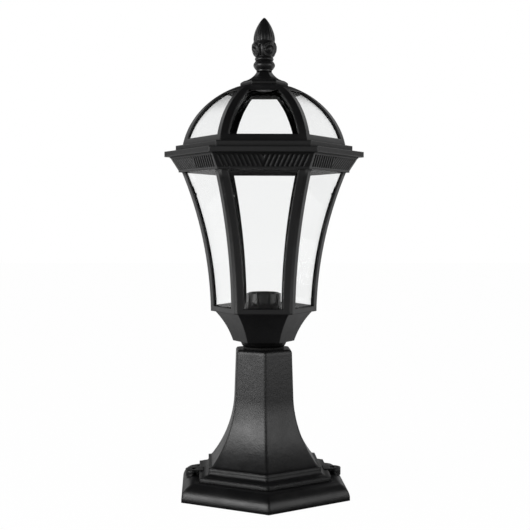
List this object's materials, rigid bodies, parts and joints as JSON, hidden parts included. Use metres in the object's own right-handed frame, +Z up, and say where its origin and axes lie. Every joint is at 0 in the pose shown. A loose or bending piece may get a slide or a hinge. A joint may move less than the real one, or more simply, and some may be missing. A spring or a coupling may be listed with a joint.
{
  "type": "pedestal lamp",
  "caption": "Hexagonal garden pedestal lamp: glazed lantern with curved panes, fluted cornice, glazed dome and carved finial on a flared cast pedestal with screw lugs.",
  "frame": {"origin": "centre of the pedestal's underside, where it stands on the ground", "axes": "+Z up; a corner of the pedestal points to -Y; its screw lugs lie at +X and -X"},
  "size_m": [0.2102, 0.1998, 0.5],
  "materials": {
    "black_paint": "satin",
    "clear_glass": "gloss",
    "holder_plastic": "satin",
    "insert_ceramic": "gloss",
    "terminal_plastic": "satin",
    "brass": "satin",
    "gasket_rubber": "matte",
    "live_sheath": "satin",
    "neutral_sheath": "satin",
    "earth_sheath": "satin",
    "steel": "satin"
  },
  "bodies": {
    "root": {"cage": "black_paint", "cage_pane_1": "clear_glass", "cage_pane_2": "clear_glass", "cage_pane_3": "clear_glass", "cage_pane_4": "clear_glass", "cage_pane_5": "clear_glass", "cage_pane_6": "clear_glass", "cage_screws": "steel", "cage_strip_1": "black_paint", "cage_strip_2": "black_paint", "cage_strip_3": "black_paint", "cage_strip_4": "black_paint", "cage_strip_5": "black_paint", "cage_strip_6": "black_paint", "cage_strip_screws": "steel", "centre_contact": "brass", "cornice": "black_paint", "cornice_set_screws": "steel", "crown_cap": "black_paint", "dome_frame": "black_paint", "dome_pane_1": "clear_glass", "dome_pane_2": "clear_glass", "dome_pane_3": "clear_glass", "dome_pane_4": "clear_glass", "dome_pane_5": "clear_glass", "dome_pane_6": "clear_glass", "dome_screws": "steel", "earth_lead": "earth_sheath", "earth_screw": "steel", "earth_tag": "brass", "finial": "black_paint", "finial_stud": "steel", "holder_base": "holder_plastic", "holder_body": "holder_plastic", "holder_cover": "holder_plastic", "holder_insert": "insert_ceramic", "holder_ring": "holder_plastic", "lantern_cup": "black_paint", "live_lead": "live_sheath", "neck_gasket": "gasket_rubber", "neutral_lead": "neutral_sheath", "nipple": "steel", "nipple_nuts": "steel", "nipple_washers": "steel", "pedestal": "black_paint", "screw_shell": "brass", "terminal_block": "terminal_plastic", "terminal_fixing_screw": "steel", "terminal_screws": "brass"}
  },
  "joints": []
}
